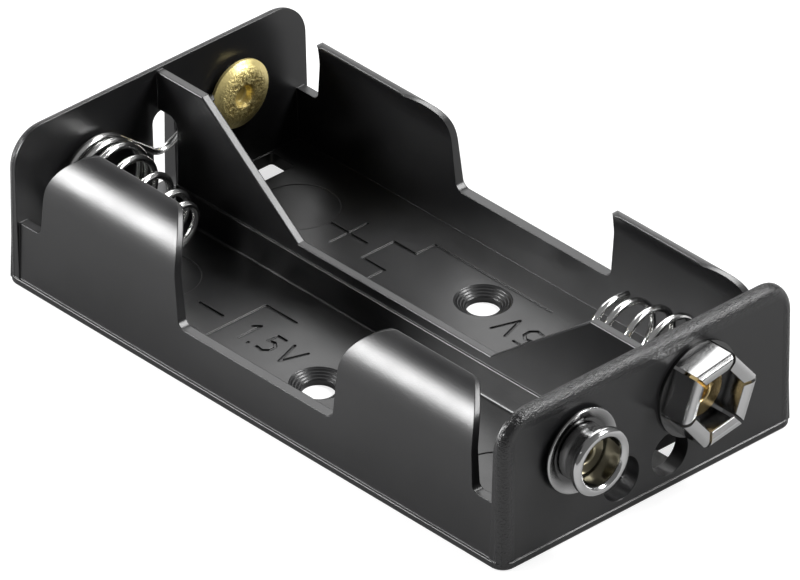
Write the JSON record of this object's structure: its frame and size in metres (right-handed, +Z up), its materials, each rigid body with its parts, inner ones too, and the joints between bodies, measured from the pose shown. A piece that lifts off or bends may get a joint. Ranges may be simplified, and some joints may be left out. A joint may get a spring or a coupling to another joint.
{
  "type": "battery holder",
  "caption": "Open tray that holds cylindrical cells side by side under curled side grips, with coil contacts inside and snap terminals on one end.",
  "frame": {"origin": "centre of the tray's flat underside", "axes": "+X along the cells towards the snap terminals, +Y across the bays towards the socket side, +Z up out of the open top"},
  "size_m": [0.061, 0.0316, 0.0138],
  "materials": {
    "black_plastic": "semi-gloss, fine spark-eroded texture on the rounded end wall edges",
    "plated_wire": "bright nickel plate",
    "plated_sheet": "bright nickel plate",
    "brass": "bare brass, slightly dull"
  },
  "bodies": {
    "root": {"tray": "black_plastic", "link_spring": "plated_wire", "link_rivet": "brass", "terminal_spring": "plated_wire", "stud_washer": "plated_sheet", "stud_post": "plated_sheet", "stud_eyelet": "brass", "socket_shell": "plated_sheet", "socket_eyelet": "brass"}
  },
  "joints": []
}
